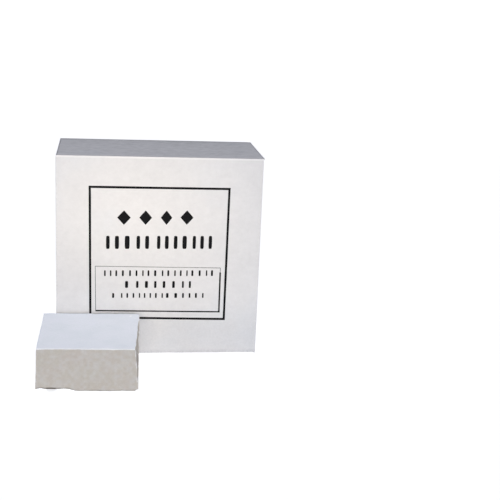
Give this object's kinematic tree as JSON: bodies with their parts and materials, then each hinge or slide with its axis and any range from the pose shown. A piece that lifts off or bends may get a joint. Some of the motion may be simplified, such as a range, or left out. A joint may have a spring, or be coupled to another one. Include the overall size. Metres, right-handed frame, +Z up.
{
  "type": "gymnastics chalk block carton",
  "caption": "Tuck-top paperboard carton of pressed gymnastics chalk blocks in two stacks, with one loose block lying in front; lid, tuck and dust flaps open on their creases.",
  "frame": {"origin": "centre of the carton's footprint, on the surface it stands on; the loose block in front of it is off this centre", "axes": "+Z up through the lid, -Y out of the printed front panel, +Y out of the back panel where the lid is creased, +X to the right seen from the front"},
  "size_m": [0.1168, 0.1106, 0.108],
  "materials": {
    "board_outer": "satin white coated paperboard",
    "board_inner": "matt uncoated paperboard",
    "chalk": "matt powdery pressed chalk",
    "label_ink": "matt black print"
  },
  "bodies": {
    "carton": {"front_panel": "board_outer", "back_panel": "board_outer", "left_panel": "board_outer", "right_panel": "board_outer", "glue_flap": "board_inner", "bottom_outer_flap": "board_outer", "bottom_inner_flap": "board_inner", "bottom_minor_flap_left": "board_inner", "bottom_minor_flap_right": "board_inner", "block_left_1": "chalk", "block_left_2": "chalk", "block_left_3": "chalk", "block_right_1": "chalk", "block_right_2": "chalk", "block_right_3": "chalk", "block_right_4": "chalk"},
    "lid": {"lid_panel": "board_outer"},
    "tuck": {"tuck_flap": "board_inner"},
    "dust_left": {"dust_flap_left": "board_inner"},
    "dust_right": {"dust_flap_right": "board_inner"},
    "loose_block": {"loose_block": "chalk"}
  },
  "joints": [
    {"name": "lid_open", "type": "hinge", "parent": "carton", "child": "lid", "pos_m": [0, 0.02845, 0.1077], "axis": [-1, 0, 0], "range_deg": [0, 210]},
    {"name": "tuck_fold", "type": "hinge", "parent": "lid", "child": "tuck", "pos_m": [0, -0.02755, 0.1077], "axis": [-1, 0, 0], "range_deg": [0, 52.6]},
    {"name": "dust_left_open", "type": "hinge", "parent": "carton", "child": "dust_left", "pos_m": [-0.0537, 0, 0.1068], "axis": [0, -1, 0], "range_deg": [0, 105.1]},
    {"name": "dust_right_open", "type": "hinge", "parent": "carton", "child": "dust_right", "pos_m": [0.0537, 0, 0.1068], "axis": [0, 1, 0], "range_deg": [0, 105.1]},
    {"name": "loose_block_lift", "type": "slide", "parent": "carton", "child": "loose_block", "axis": [0, 0, 1], "range_m": [0, 0.12]}
  ],
  "couplings": [
    {"joint": "tuck_fold", "follows": "lid_open", "ratio": 0.25},
    {"joint": "dust_left_open", "follows": "lid_open", "ratio": 0.5},
    {"joint": "dust_right_open", "follows": "lid_open", "ratio": 0.5}
  ]
}
